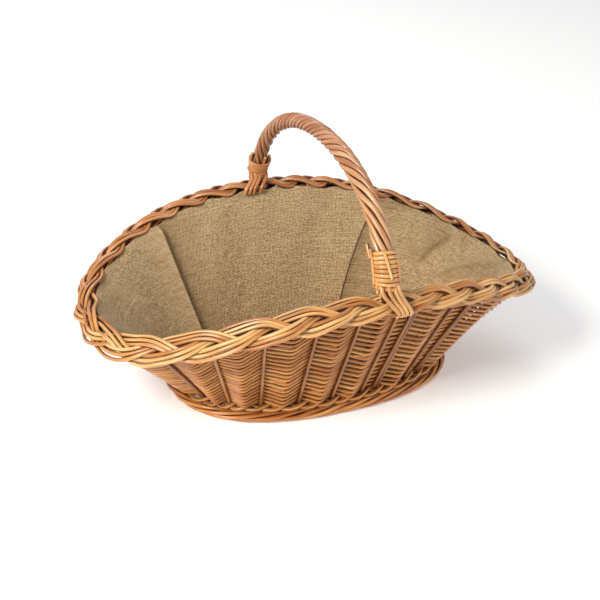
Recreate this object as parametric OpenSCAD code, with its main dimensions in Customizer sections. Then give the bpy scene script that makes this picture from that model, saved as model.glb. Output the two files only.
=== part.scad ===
// Oval willow fruit basket with a fixed hoop handle and a sewn hessian lining.
// Origin: bottom centre. +X runs along the length, +Z is up. All sizes in mm.

/* [Base] */
// length of the foot ring, measured on its centreline
foot_length = 357; // [300:1:400]
// width of the foot ring, measured on its centreline
foot_width = 229; // [200:1:250]
// thickness of the foot ring, which the basket stands on
foot_thick = 16; // [14:1:18]

/* [Rim] */
// length of the rim border on its centreline
rim_length = 570; // [540:5:600]
// width of the rim border on its centreline
rim_width = 356; // [330:2:380]
// height of the border's centre beside the handle
side_height = 178; // [165:1:195]
// height of the border's centre at the two ends
end_height = 113; // [100:1:125]
// half width of the plaited border, across the wall
border_half_width = 17; // [15:0.5:19]

/* [Weave] */
// rows of willow rods in the side
weave_rows = 19; // [14:1:19]
// radius of an upright stake
stake_r = 2.8; // [2.4:0.1:3]

/* [Handle] */
// height of the handle's centreline at its top
handle_height = 315; // [290:1:350]
// half distance between the handle's two feet
handle_half_span = 175.5; // [172:0.5:178]
// radius of the bent rod inside the handle
bow_r = 5.4; // [4.5:0.1:5.6]
// radius of each rod wrapped round it
rope_r = 2.6; // [2.2:0.1:2.7]

/* [Hidden] */
$fn = 24;
stakes_n = 40;                 // even, so the side weave closes on itself
foot_a = foot_length / 2;
foot_b = foot_width / 2;
foot_r = foot_thick / 2;
foot_power = 2.4;              // squareness of the base oval
rim_a = rim_length / 2;
rim_b = rim_width / 2;
rim_power = 2.3;               // squareness of the rim oval
mid_height = (side_height + end_height) / 2;
saddle = (side_height - end_height) / 2;
flat_spot = 1.7;               // keeps the rim high for longer beside the handle
stake_inset = 11;              // the stakes stand this far inside the foot's centreline
end_inset = 4.5;               // and this much more at the two ends, where the wall leans out furthest
foot_flat = 0.8;               // the foot ring is this much narrower than it is thick
weave_swing = 6.4;             // how far a weaver passes outside or inside a stake
weave_half = 2.7;              // half the thickness of a weaver
wale_r = 3.9;                  // the heavier bands below and above the side weave
wale_off = stake_r + wale_r + 0.4;
low_wale_z = 21.5;
top_wale_drop = 15;            // below the border's centre, along the stakes
centre_y = 3.9;                // the rod ends over the near border reach further out than the far side
lining_out = 11.9;             // outer face of the lining, measured in from the stakes
lining_thick = 2.2;
seam_gap = 0.35;               // half the gap between two sewn panels, in degrees
plate_low = 2.6;
plate_high = 17.4;
bow_foot_h = side_height;
rope_rods = 10;
rope_ring = bow_r + rope_r + 0.3;
rope_clear = 0.55;             // keeps one wrapped rod off the next
rope_turns = 4;
rope_steps = 40;
bow_power = 2.06;
turns = 6;                     // turns of split willow in each binding
skein_r = 1.9;
willow = [0.80, 0.55, 0.27];
willow_dark = [0.62, 0.38, 0.17];
hessian = [0.68, 0.58, 0.42];

// ---- curves -------------------------------------------------------------
function unit(v) = v / norm(v);
function oval(a, b, power, ang) =
    let (r = pow(pow(abs(cos(ang)) / a, power) + pow(abs(sin(ang)) / b, power), -1 / power))
    [r * cos(ang), r * sin(ang)];
function foot_at(t, inset) = oval(foot_a - inset, foot_b - inset, foot_power, t - 6.3 * sin(2 * t));
function rim_z(p) =
    let (c = pow(abs(p.x) / rim_a, rim_power))
    mid_height - saddle * (2 * c - 1) + flat_spot * (8 * c * c - 8 * c);
function rim_at(t) = let (p = oval(rim_a, rim_b, rim_power, t + 3.3 * sin(2 * t))) [p.x, p.y, rim_z(p)];

// the wall's own frame at turn t: where a stake starts, its direction, and the way out of the basket
function stake_foot(t) = let (p = foot_at(t, stake_inset + end_inset * pow(cos(t), 2))) [p.x, p.y, foot_r];
function stake_dir(t) = unit(rim_at(t) - stake_foot(t));
function stake_len(t) = norm(rim_at(t) - stake_foot(t));
function out_dir(t) = unit(cross(unit(rim_at(t + 1) - rim_at(t - 1)), stake_dir(t)));
// a point d along the stake at turn t, and off outward from it
function wall(t, d, off) = stake_foot(t) + stake_dir(t) * d + out_dir(t) * off;
// how far along the stake a point off outward from it reaches height z
function reach(t, z, off) = (z - foot_r - off * out_dir(t).z) / stake_dir(t).z;

// ---- skins --------------------------------------------------------------
function flat(l) = [for (a = l) for (b = a) b];
function side_faces(n, m, loop) = flat([for (i = [0 : loop ? n - 1 : n - 2]) flat([for (j = [0 : m - 1])
    let (k = (i + 1) % n, a = i * m + j, b = i * m + (j + 1) % m, c = k * m + (j + 1) % m, d = k * m + j)
    [[a, b, c], [a, c, d]]])]);
// rings: a list of sections, each with the same number of points, joined into one closed solid
module skin(rings, loop = false) {
    n = len(rings);
    m = len(rings[0]);
    ends = loop ? [] : [[for (j = [m - 1 : -1 : 0]) j], [for (j = [0 : m - 1]) (n - 1) * m + j]];
    polyhedron(points = flat(rings), faces = concat(side_faces(n, m, loop), ends), convexity = 8);
}
// a round section in the plane of u and v
function disc(c, u, v, r, sides) = [for (j = [0 : sides - 1]) c + (u * cos(360 * j / sides)
    + v * sin(360 * j / sides)) * r];
// a rod through the points of a path that lies mostly across the direction side
module rod(path, r, side, sides = 8) {
    n = len(path);
    skin([for (i = [0 : n - 1])
        let (tan = unit(path[min(i + 1, n - 1)] - path[max(i - 1, 0)]),
            u = unit(cross(side, tan)), v = cross(tan, u))
        disc(path[i], v, u, r, sides)]);
}

// ---- base ---------------------------------------------------------------
cross_x = [-110, -55, 0, 55, 110];
long_y = [-7.5, 0, 7.5];
module cross_shapes(r) {
    for (x = cross_x)
        translate([x, 0, 10]) rotate([90, 0, 0])
            cylinder(h = 2 * (oval(foot_a - 24, foot_b - 24, foot_power, atan2(70, x)).y) + 2 * (r - 5), r = r, center = true);
}
module long_shapes(r, extra) {
    for (y = long_y) translate([0, y, 10]) rotate([0, 90, 0]) cylinder(h = foot_length - 60 + extra, r = r, center = true);
}
module base_cross_sticks() {
    color(willow_dark) difference() {
        cross_shapes(5);
        long_shapes(3.2, 0);
    }
}
module base_long_sticks() {
    color(willow_dark) long_shapes(3, 0);
}
module base_weave() {
    // its edge meets the feet of the stakes, which stand between it and the foot ring
    color(willow) difference() {
        translate([0, 0, plate_low]) linear_extrude(height = plate_high - plate_low)
            polygon([for (t = [0 : 5 : 355]) foot_at(t, 16.2 + 8 * pow(cos(t), 2))]);
        cross_shapes(5.3);
        long_shapes(3.3, 2);
    }
}
module foot_border() {
    // three rods rolled round each other, pressed flat where the basket stands
    color(willow) skin([for (t = [0 : 3 : 357])
        let (p = foot_at(t, 0), q = foot_at(t + 1, 0) - foot_at(t - 1, 0), n = unit([q.y, -q.x, 0]))
        [for (j = [0 : 9])
            let (w = j * 36 + 18, r = foot_r * (0.95 + 0.05 * cos(3 * (w + 12 * t))))
            [p.x + n.x * r * foot_flat * cos(w), p.y + n.y * r * foot_flat * cos(w),
                j == 6 || j == 7 || j == 8 ? 0 : foot_r + r * sin(w)]]], loop = true);
}

// ---- wall ---------------------------------------------------------------
// the turn that stake k stands at; they stand closer together at the left front corner
function stake_turn(k) = 360 / stakes_n * k + 11 * exp(-pow((360 / stakes_n * k - 186) / 24, 2));
doubled = [32, 35];            // a second rod stands beside these stakes
module stakes() {
    for (i = [0 : stakes_n - 1]) {
        t = stake_turn(i);
        beside = cross(stake_dir(t), out_dir(t)) * (2 * stake_r + 0.3);
        // the handle's own legs take the place of the two middle stakes
        if (i != 10 && i != 30)
            color(willow_dark) for (j = [0 : len(search(i, doubled)) > 0 ? 1 : 0]) {
                a = wall(t, -3.5, 0) - beside * j;
                b = wall(t, stake_len(t) - 8.5, 0) - beside * j;
                d = b - a;
                translate(a) rotate([0, acos(d.z / norm(d)), atan2(d.y, d.x)])
                    cylinder(h = norm(d), r = stake_r);
            }
    }
}
module wale_ring(z_or_drop, off, top) {
    skin([for (t = [0 : 5 : 355])
        let (d = top ? stake_len(t) - z_or_drop : reach(t, z_or_drop, off), c = wall(t, d, off))
        [for (j = [0 : 5]) c + (out_dir(t) * cos(60 * j + 8 * t) + stake_dir(t) * sin(60 * j + 8 * t)) * wale_r]],
        loop = true);
}
module lower_wale() {
    color(willow) {
        wale_ring(low_wale_z, wale_off, false);
        wale_ring(low_wale_z + 1, -wale_off, false);
    }
}
module upper_wale() {
    color(willow_dark) {
        wale_ring(top_wale_drop, wale_off, true);
        wale_ring(top_wale_drop, -wale_off, true);
    }
}
// +1 where a weaver passes outside stake k, -1 where it passes inside; two pairs of neighbours are both passed inside
function side_of(k) = k > 31 && k < 35 ? (k < 32 || k > 34 ? -1 : -cos(180 * k)) : cos(180 * k);
module side_weave() {
    levels = 2 * weave_rows;
    color(willow) skin([for (k = [0 : 0.5 : stakes_n - 0.5])
        let (t = stake_turn(k), low = reach(t, low_wale_z, wale_off) + wale_r + 0.7,
            high = stake_len(t) - top_wale_drop - wale_r - 0.6, swing = weave_swing * side_of(k))
        concat([for (i = [0 : levels]) wall(t, low + (high - low) * i / levels,
                swing + weave_half - (i % 2 == 0 ? 1.4 : 0))],
            [wall(t, high, swing - weave_half), wall(t, low, swing - weave_half)])], loop = true);
}

// ---- rim ----------------------------------------------------------------
plait_waves = 10;               // times each strand crosses over and back
// the turn measured by length along the rim, and how far round its wave the plait is there: it is worked
// looser at the left front than at the back
function even(t) = t + 9.9 * sin(2 * t);
function plait_phase(t) = let (e = even(t)) plait_waves * e + 27.9 + 74.2 * cos(e - 142.3) + 21 * cos(2 * e + 39.4);
module strand(k) {
    // one of the three strands of the plait, closed on itself round the rim
    difference() {
        skin([for (t = [0 : 2.4 : 359])
            let (w = plait_phase(t) + 120 * k,
                c = rim_at(t) + out_dir(t) * (border_half_width - 5.5) * sin(w) - stake_dir(t) * 4.0 * sin(2 * w))
            [for (j = [0 : 5]) c + out_dir(t) * 5.5 * cos(60 * j) + stake_dir(t) * 3.2 * sin(60 * j)]], loop = true);
        // room for the handle's two legs
        for (side = [-1, 1])
            translate([0, side * (handle_half_span - 0.9), side_height]) cylinder(h = 44, r = bow_r + 1.2, center = true);
    }
}
module rim_strand_1() {
    color(willow) strand(0);
}
module rim_strand_2() {
    color(willow) strand(1);
}
module rim_strand_3() {
    color(willow) strand(2);
}

// ---- handle -------------------------------------------------------------
function arch(u) = [0, handle_half_span * sign(cos(u)) * pow(abs(cos(u)), 2 / bow_power),
    bow_foot_h + (handle_height - bow_foot_h) * pow(sin(u), 2 / bow_power)];
function arch_dir(u) = unit(arch(min(u + 0.5, 180)) - arch(max(u - 0.5, 0)));
// leg points go down inside the wall in place of a stake, thinned to a point at the bottom
leg_drop = [150, 60, 26, 12];
leg_r = [2.2, 3.0, 3.2, bow_r - 1.2];
module handle_bow() {
    far = [for (i = [0 : 3]) disc(wall(90, stake_len(90) - leg_drop[i], 0), [1, 0, 0], [0, 1, 0], leg_r[i], 10)];
    near = [for (i = [3 : -1 : 0]) disc(wall(270, stake_len(270) - leg_drop[i], 0), [1, 0, 0], [0, -1, 0],
        leg_r[i], 10)];
    mid = [for (u = [2 : 4 : 178]) let (d = arch_dir(u)) disc(arch(u), [1, 0, 0], cross(d, [1, 0, 0]), bow_r, 10)];
    color(willow_dark) skin(concat(far, mid, near));
}
rope_from = 10;
module handle_rope() {
    color(willow) for (k = [0 : rope_rods - 1])
        skin([for (i = [0 : rope_steps])
            let (u = rope_from + (180 - 2 * rope_from) * i / rope_steps, d = arch_dir(u), n = cross(d, [1, 0, 0]),
                w = 360 * (k / rope_rods - rope_turns * i / rope_steps),
                o = [1, 0, 0] * cos(w) + n * sin(w), s = cross(d, o),
                lay = unit(d - s * 0.5), across = cross(o, lay))
            disc(arch(u) + o * rope_ring, o, -across, rope_r - rope_clear, 5)]);
}
module binding(side) {
    for (i = [0 : turns - 1]) {
        u = side > 0 ? 11 + 2.35 * i : 169 - 2.35 * i;
        d = arch_dir(u);
        translate(arch(u)) rotate([-atan2(d.y, d.z), 0, 0])
            rotate_extrude() translate([rope_ring + rope_r + skein_r + 0.35, 0]) circle(r = skein_r);
    }
}
module binding_near() {
    color(willow) binding(-1);
}
module binding_far() {
    color(willow) binding(1);
}
// ends of the wrapping rods, brought over the border; points are [outward, up the wall, sideways]
module tails(t, points) {
    n = out_dir(t);
    d = stake_dir(t);
    s = cross(n, d);
    for (k = [-1.5 : 1 : 1.5])
        rod([for (p = points) rim_at(t) + n * p[0] + d * p[1] + s * (p[2] + 6.2 * k)], 2.3, s);
}
module tails_near() {
    color(willow) tails(270, [[1, 21, 0], [7, 11.5, -5], [15, 10.4, -11], [20.3, 7, -15], [21.6, 0, -18], [19.5, -7, -20]]);
}
module tails_far() {
    color(willow) tails(90, [[-22.5, 21, 0], [-21.8, 12, -2], [-21.2, 4, -4], [-20.6, -4, -6], [-18.6, -9.5, -8]]);
}

// ---- lining -------------------------------------------------------------
module lining_panel(t0, t1) {
    steps = ceil((t1 - t0) / 5);
    skin([for (i = [0 : steps])
        let (t = t0 + seam_gap + (t1 - t0 - 2 * seam_gap) * i / steps, high = stake_len(t) - 8,
            a = lining_out, b = lining_out + lining_thick)
        [wall(t, reach(t, 18.3, -a), -a), wall(t, high, -a), wall(t, high, -b), wall(t, reach(t, 18.3, -b), -b)]]);
}
module lining_floor() {
    color(hessian) translate([0, 0, 17.8]) linear_extrude(height = lining_thick)
        polygon([for (t = [0 : 5 : 355]) foot_at(t, 30)]);
}
module lining_front() {
    color(hessian) lining_panel(222, 318);
}
module lining_back() {
    color(hessian) lining_panel(42, 138);
}
module lining_left() {
    color(hessian) lining_panel(138, 222);
}
module lining_right() {
    color(hessian) lining_panel(318, 402);
}

translate([0, centre_y, 0]) {
    base_cross_sticks();
    base_long_sticks();
    base_weave();
    foot_border();
    stakes();
    lower_wale();
    side_weave();
    upper_wale();
    rim_strand_1();
    rim_strand_2();
    rim_strand_3();
    handle_bow();
    handle_rope();
    binding_near();
    binding_far();
    tails_near();
    tails_far();
    lining_floor();
    lining_front();
    lining_back();
    lining_left();
    lining_right();
}
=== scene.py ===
"""Oval willow fruit basket with a plaited rim, a roped hoop handle and a hessian lining.

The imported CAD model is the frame. Its curves are repeated here, in metres, and every rod of the real
weave is swept along them."""

import math

import bpy
import numpy as np
from mathutils import Matrix, Vector


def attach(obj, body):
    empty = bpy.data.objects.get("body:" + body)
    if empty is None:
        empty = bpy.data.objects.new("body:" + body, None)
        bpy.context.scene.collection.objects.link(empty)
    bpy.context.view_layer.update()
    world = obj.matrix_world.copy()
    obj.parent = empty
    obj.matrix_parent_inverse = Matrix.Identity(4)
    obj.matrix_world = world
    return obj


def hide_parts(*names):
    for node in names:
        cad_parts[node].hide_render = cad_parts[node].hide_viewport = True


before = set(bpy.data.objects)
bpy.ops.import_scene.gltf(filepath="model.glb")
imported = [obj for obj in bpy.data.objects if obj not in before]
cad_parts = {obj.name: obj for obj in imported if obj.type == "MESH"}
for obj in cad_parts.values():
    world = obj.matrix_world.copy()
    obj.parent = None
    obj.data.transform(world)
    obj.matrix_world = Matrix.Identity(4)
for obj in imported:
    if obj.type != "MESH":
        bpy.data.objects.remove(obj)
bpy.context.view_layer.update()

MM = 0.001
TAU = 2 * math.pi
rng = np.random.default_rng(20)

# ---- the basket's dimensions, as in part.scad ----------------------------------------------------
FOOT_A, FOOT_B, FOOT_POWER = 178.5 * MM, 114.5 * MM, 2.4
FOOT_R = 8 * MM
RIM_A, RIM_B, RIM_POWER = 285 * MM, 178 * MM, 2.3
FOOT_GATHER, RIM_GATHER = math.radians(6.3), math.radians(3.3)  # moves points of each oval along it
SIDE_HEIGHT, END_HEIGHT, FLAT_SPOT = 178 * MM, 113 * MM, 1.7 * MM
STAKE_INSET, END_INSET, STAKES = 11 * MM, 4.5 * MM, 40
WEAVE_ROWS, WALE_OUT = 19, 7.1 * MM
HANDLE_HEIGHT, HANDLE_SPAN, HANDLE_POWER = 315 * MM, 175.5 * MM, 2.06
BOW_R = 5.4 * MM
LINING_IN = 13 * MM  # from the stakes to the middle of the cloth
CENTRE_Y = 3.9 * MM  # all of it stands this far back, so that the overall box is centred

# ---- where the photo asks for something else than part.scad has ----------------------------------
WEAVE_SWING = 5.3 * MM  # how far a weaver passes outside or inside a stake
LOW_WALE_Z, TOP_WALE_DROP = 15.5 * MM, 13 * MM  # above the floor, and down the wall from the border's middle
HANDLE_LEAN = 4.5 * MM  # the far leg leans this far to the right
DOUBLED_STAKES = (32, 35)  # a second rod stands beside these
HANDLE_STAKES = (10, 30)  # the handle's legs stand in place of these
CROWD_SHIFT, CROWD_TURN, CROWD_SPREAD = 11, 186, 24  # degrees: where the stakes stand closer, and how much
SLIP_FIRST, SLIP_LAST = 31, 35  # between these stakes the weave is one stake out of step
WEAVER_SHARPNESS = 0.09  # a weaver bends round each stake and runs straighter between them

# ---- camera --------------------------------------------------------------------------------------
CAMERA_YAW, CAMERA_PITCH, CAMERA_ROLL = -28.19, 27.91, 3.61  # degrees
CAMERA_DISTANCE, CAMERA_LENS, SENSOR_WIDTH = 1.74146, 84.82, 36  # metres, and millimetres in the camera
CAMERA_SIDE, CAMERA_LIFT, AIM_HEIGHT = -0.01428, -0.02326, 0.12


# ---- curves --------------------------------------------------------------------------------------
def unit(v):
    return v / np.linalg.norm(v, axis=-1, keepdims=True)


def oval(a, b, power, ang):
    c, s = np.cos(ang), np.sin(ang)
    r = (np.abs(c / a) ** power + np.abs(s / b) ** power) ** (-1 / power)
    return np.stack([r * c, r * s], -1)


def foot_at(t, inset=0.0, z=FOOT_R):
    """The base's oval, inset from the middle of the foot ring; t runs anticlockwise from +X."""
    p = oval(FOOT_A - inset, FOOT_B - inset, FOOT_POWER, t - FOOT_GATHER * np.sin(2 * t))
    return np.concatenate([p, np.full(p.shape[:-1] + (1,), z)], -1)


def rim_at(t):
    """The middle of the plaited border."""
    p = oval(RIM_A, RIM_B, RIM_POWER, t + RIM_GATHER * np.sin(2 * t))
    c = (np.abs(p[..., 0]) / RIM_A) ** RIM_POWER
    middle, saddle = (SIDE_HEIGHT + END_HEIGHT) / 2, (SIDE_HEIGHT - END_HEIGHT) / 2
    z = middle - saddle * (2 * c - 1) + FLAT_SPOT * (8 * c * c - 8 * c)
    return np.concatenate([p, z[..., None]], -1)


def wall_frame(t):
    """Where the stakes start at turn t, which way they run, the way out of the basket, and their length."""
    start, end = foot_at(t, STAKE_INSET + END_INSET * np.cos(t) ** 2), rim_at(t)
    along = unit(end - start)
    step = math.radians(1)
    out = unit(np.cross(unit(rim_at(t + step) - rim_at(t - step)), along))
    return start, along, out, np.linalg.norm(end - start, axis=-1)


def wall(t, d, off):
    """The point at turn t, d up the stakes and off outward from them."""
    start, along, out, _ = wall_frame(t)
    return start + along * np.asarray(d)[..., None] + out * np.asarray(off)[..., None]


def reach(t, z, off):
    """How far along the stakes a point off outward from them is at height z."""
    _, along, out, _ = wall_frame(t)
    return (z - FOOT_R - off * out[..., 2]) / along[..., 2]


def stake_turn(k):
    """The turn stake k stands at. They stand closer together at the left front corner."""
    k = np.asarray(k, float)
    turn = 360 / STAKES * k
    return np.radians(turn + CROWD_SHIFT * np.exp(-(((turn - CROWD_TURN) / CROWD_SPREAD) ** 2)))


def side_of(k):
    """+1 where a weaver passes outside stake k and -1 inside it.

    At two places it passes inside a stake and its neighbour both."""
    wave = (np.cos(math.pi * k) + WEAVER_SHARPNESS * np.cos(3 * math.pi * k)) / (1 + WEAVER_SHARPNESS)
    slipped = (k > SLIP_FIRST) & (k < SLIP_LAST)
    between_pair = (k < SLIP_FIRST + 1) | (k > SLIP_LAST - 1)
    return np.where(slipped, np.where(between_pair, -1.0, -wave), wave)


def arch(u):
    """The handle's line, from its far foot over to its near one. Its far leg leans a little to the right."""
    c, s = np.cos(u), np.clip(np.sin(u), 0, 1)
    y = HANDLE_SPAN * np.sign(c) * np.abs(c) ** (2 / HANDLE_POWER)
    z = SIDE_HEIGHT + (HANDLE_HEIGHT - SIDE_HEIGHT) * s ** (2 / HANDLE_POWER)
    return np.stack([HANDLE_LEAN * np.clip(c, 0, 1), y, z], -1)


def smooth_step(x):
    x = np.clip(x, 0, 1)
    return x * x * (3 - 2 * x)


def smooth_through(values, s):
    """Catmull-Rom through values at 0, 1, 2, ..."""
    v = np.concatenate([[2 * values[0] - values[1]], values, [2 * values[-1] - values[-2]]])
    i = np.minimum(s.astype(int), len(values) - 2)
    f = s - i
    a, b, c, d = v[i], v[i + 1], v[i + 2], v[i + 3]
    return 0.5 * (2 * b + (c - a) * f + (2 * a - 5 * b + 4 * c - d) * f**2 + (3 * b - 3 * c + d - a) * f**3)


def ripple(n, waves, seed):
    """n smooth numbers from about -1 to 1 that join up end to end."""
    r = np.random.default_rng(seed)
    x = np.linspace(0, TAU, n, endpoint=False)
    total = sum(np.sin(x * k + r.uniform(0, TAU)) * r.uniform(0.5, 1) for k in range(waves, 2 * waves + 3))
    return total / (np.abs(total).max() + 1e-9)


# ---- rods ----------------------------------------------------------------------------------------
ROD_UNEVENNESS = 0.05  # share by which a rod is thicker or thinner along its length


class Rods:
    """Many rods gathered into one mesh, each with its own tone, its length marked for the grain, and the way
    round it marked for the grain and for the painted shade between rods.
    """

    def __init__(self, name):
        self.name = name
        self.points, self.faces, self.grain, self.tone, self.cut = [], [], [], [], []
        self.total = 0

    def add(self, path, radius, side, closed=False, sides=8, flat=1.0, tone=None, both=False):
        """Sweep a rod along path.

        side: the direction, or one per point, that the rod's open side looks along; the painted shade between
        rods darkens the rod away from it.
        both: the painted shade spares its back too. flat: its thickness along side as a share of its width."""
        path = np.asarray(path, float)
        n = len(path)
        seed = int(rng.integers(1 << 30))
        tone = float(rng.uniform()) if tone is None else tone
        tangent = unit(np.roll(path, -1, 0) - np.roll(path, 1, 0) if closed else np.gradient(path, axis=0))
        side = np.broadcast_to(np.asarray(side, float), path.shape)
        high = unit(side - tangent * (side * tangent).sum(1, keepdims=True))
        wide = np.cross(tangent, high)
        steps = np.linalg.norm(np.diff(path, axis=0, append=path[:1]), axis=1)
        run = np.concatenate([[0], np.cumsum(steps)[:-1]])
        r = np.broadcast_to(np.asarray(radius, float), (n,)) * (1 + ROD_UNEVENNESS * ripple(n, 6, seed))
        ang = np.arange(sides) * TAU / sides
        ring = (
            path[:, None]
            + high[:, None] * (r[:, None, None] * flat * np.cos(ang)[None, :, None])
            + wide[:, None] * (r[:, None, None] * np.sin(ang)[None, :, None])
        )
        grain = np.empty((n, sides, 3))
        grain[..., 0] = run[:, None]
        # The second number is how far round towards side; the painted shade between rods darkens where it is
        # low.
        grain[..., 1] = np.abs(np.cos(ang)) if both else np.cos(ang)
        grain[..., 2] = np.sin(ang)
        self._keep(ring.reshape(-1, 3), grain.reshape(-1, 3), tone, 0.0)
        i = np.arange(n if closed else n - 1)[:, None] * sides
        j = np.arange(sides)[None]
        k = (i + sides) % (n * sides)
        quads = np.stack([i + j, k + j, k + (j + 1) % sides, i + (j + 1) % sides], -1).reshape(-1, 4)
        self.faces.append(quads + self.total)
        self.total += n * sides
        if not closed:
            for end, turn in ((0, 1), (n - 1, -1)):
                self._cap(ring[end], path[end], run[end], turn, tone)

    def _keep(self, points, grain, tone, cut):
        self.points.append(points)
        self.grain.append(grain)
        self.tone.append(np.full(len(points), tone))
        self.cut.append(np.full(len(points), cut))

    def _cap(self, ring, centre, run, turn, tone):
        """Close a rod's end with a cut face. turn is 1 at its start and -1 at its end."""
        sides = len(ring)
        points = np.vstack([ring, centre[None]])
        grain = np.column_stack([np.full(sides + 1, run), np.r_[np.ones(sides), 0], np.zeros(sides + 1)])
        self._keep(points, grain, tone, 1.0)
        j = np.arange(0, sides, 2)
        middle = np.full(len(j), sides)
        quads = np.stack([middle, j, (j + 1) % sides, (j + 2) % sides], -1)[:, ::turn]
        self.faces.append(quads + self.total)
        self.total += sides + 1

    def build(self, material, node):
        vectors = {"grain": np.vstack(self.grain)}
        numbers = {"tone": np.concatenate(self.tone), "cut": np.concatenate(self.cut)}
        points, faces = np.vstack(self.points), np.vstack(self.faces)
        piece(self.name, points, faces, material, node, vectors, numbers)


def piece(name, points, quads, material, node, vectors, numbers):
    """A smooth mesh of quads that rides on the basket's one body and stands for one CAD node."""
    mesh = bpy.data.meshes.new(name)
    mesh.vertices.add(len(points))
    points = np.asarray(points) + (0, CENTRE_Y, 0)
    mesh.vertices.foreach_set("co", np.asarray(points, np.float32).ravel())
    mesh.loops.add(quads.size)
    mesh.loops.foreach_set("vertex_index", quads.astype(np.int32).ravel())
    mesh.polygons.add(len(quads))
    mesh.polygons.foreach_set("loop_start", np.arange(0, quads.size, 4, dtype=np.int32))
    mesh.polygons.foreach_set("use_smooth", np.ones(len(quads), bool))
    for key, data in vectors.items():
        attribute = mesh.attributes.new(key, "FLOAT_VECTOR", "POINT")
        attribute.data.foreach_set("vector", data.astype(np.float32).ravel())
    for key, data in numbers.items():
        attribute = mesh.attributes.new(key, "FLOAT", "POINT")
        attribute.data.foreach_set("value", data.astype(np.float32))
    mesh.update(calc_edges=True)
    mesh.validate()
    mesh.materials.append(material)
    obj = bpy.data.objects.new(name, mesh)
    bpy.context.scene.collection.objects.link(obj)
    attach(obj, "root")
    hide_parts(node)
    return obj


# ---- materials -----------------------------------------------------------------------------------
class Nodes:
    """Short calls for building a material's node tree."""

    def __init__(self, name):
        self.material = bpy.data.materials.new(name)
        self.material.use_nodes = True
        self.tree = self.material.node_tree
        self.shader = self.tree.nodes["Principled BSDF"]

    def node(self, kind, **settings):
        made = self.tree.nodes.new(kind)
        for key, value in settings.items():
            setattr(made, key, value)
        return made

    def put(self, socket, value):
        if isinstance(value, bpy.types.NodeSocket):
            self.tree.links.new(value, socket)
        elif value is not None:
            socket.default_value = value

    def math(self, operation, a, b=None, clamp=False):
        made = self.node("ShaderNodeMath", operation=operation, use_clamp=clamp)
        self.put(made.inputs[0], a)
        self.put(made.inputs[1], b)
        return made.outputs[0]

    def times(self, a, b):
        return self.math("MULTIPLY", a, b)

    def plus(self, a, b):
        return self.math("ADD", a, b)

    def about_middle(self, value, gain):
        """How far value is above a half, times gain."""
        return self.times(self.math("SUBTRACT", value, 0.5), gain)

    def vector(self, operation, a, b):
        made = self.node("ShaderNodeVectorMath", operation=operation)
        self.put(made.inputs[0], a)
        self.put(made.inputs[1], b)
        return made.outputs[0]

    def split(self, vector):
        made = self.node("ShaderNodeSeparateXYZ")
        self.put(made.inputs[0], vector)
        return made.outputs

    def object_place(self):
        return self.node("ShaderNodeTexCoord").outputs["Object"]

    def attribute(self, name, output="Fac"):
        return self.node("ShaderNodeAttribute", attribute_name=name).outputs[output]

    def noise(self, vector, scale=1.0, detail=3.0, rough=0.5, output="Fac"):
        made = self.node("ShaderNodeTexNoise")
        self.put(made.inputs["Vector"], vector)
        self.put(made.inputs["Scale"], scale)
        self.put(made.inputs["Detail"], detail)
        self.put(made.inputs["Roughness"], rough)
        return made.outputs[output]

    def ramp(self, factor, stops):
        made = self.node("ShaderNodeValToRGB")
        self.put(made.inputs[0], factor)
        for _ in stops[2:]:
            made.color_ramp.elements.new(0.5)
        for element, (place, colour) in zip(made.color_ramp.elements, stops):
            element.position, element.color = place, (*colour, 1)
        return made.outputs[0]

    def mix(self, factor, a, b, blend="MIX"):
        made = self.node("ShaderNodeMix", data_type="RGBA", blend_type=blend)
        for socket, value in ((made.inputs[0], factor), (made.inputs[6], a), (made.inputs[7], b)):
            self.put(socket, value)
        return made.outputs[2]

    def bump(self, height, strength, distance):
        made = self.node("ShaderNodeBump")
        self.put(made.inputs["Strength"], strength)
        self.put(made.inputs["Distance"], distance)
        self.put(made.inputs["Height"], height)
        return made.outputs["Normal"]


# Scales of the patterns on a rod: per metre along it, then per unit of the cosine and sine of the way round.
STREAK_SCALE, PATCH_SCALE, SCAR_SCALE = (14.0, 1.6, 1.6), (22.0, 0.35, 0.35), (26.0, 0.8, 0.8)
# The second colour is painted shade: the dark put on a rod where it turns towards the rods beside it.
STREAK_COLOUR, PAINTED_SHADE_COLOUR = (0.16, 0.05, 0.012, 1), (0.075, 0.017, 0.004, 1)
SCAR_COLOUR, PITH_COLOUR = (0.16, 0.06, 0.02, 1), (0.55, 0.33, 0.14, 1)
# The second number sets how far round a rod the painted shade between rods reaches.
STREAK_BELOW, PAINTED_SHADE_BELOW, SCAR_RADIUS = 0.56, 0.62, 0.13
ROD_SPREAD = 97.0  # sets rods of different tone far apart in the patterns


def tinted_far(n, colour, far_tint, tint_from, tint_to):
    """The colour, multiplied by far_tint as y runs from tint_from to tint_to."""
    far = n.node("ShaderNodeMapRange", interpolation_type="SMOOTHSTEP")
    n.put(far.inputs["Value"], n.split(n.object_place())[1])
    n.put(far.inputs["From Min"], tint_from)
    n.put(far.inputs["From Max"], tint_to)
    return n.mix(far.outputs[0], colour, n.mix(1.0, colour, (*far_tint, 1), "MULTIPLY"))


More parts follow.
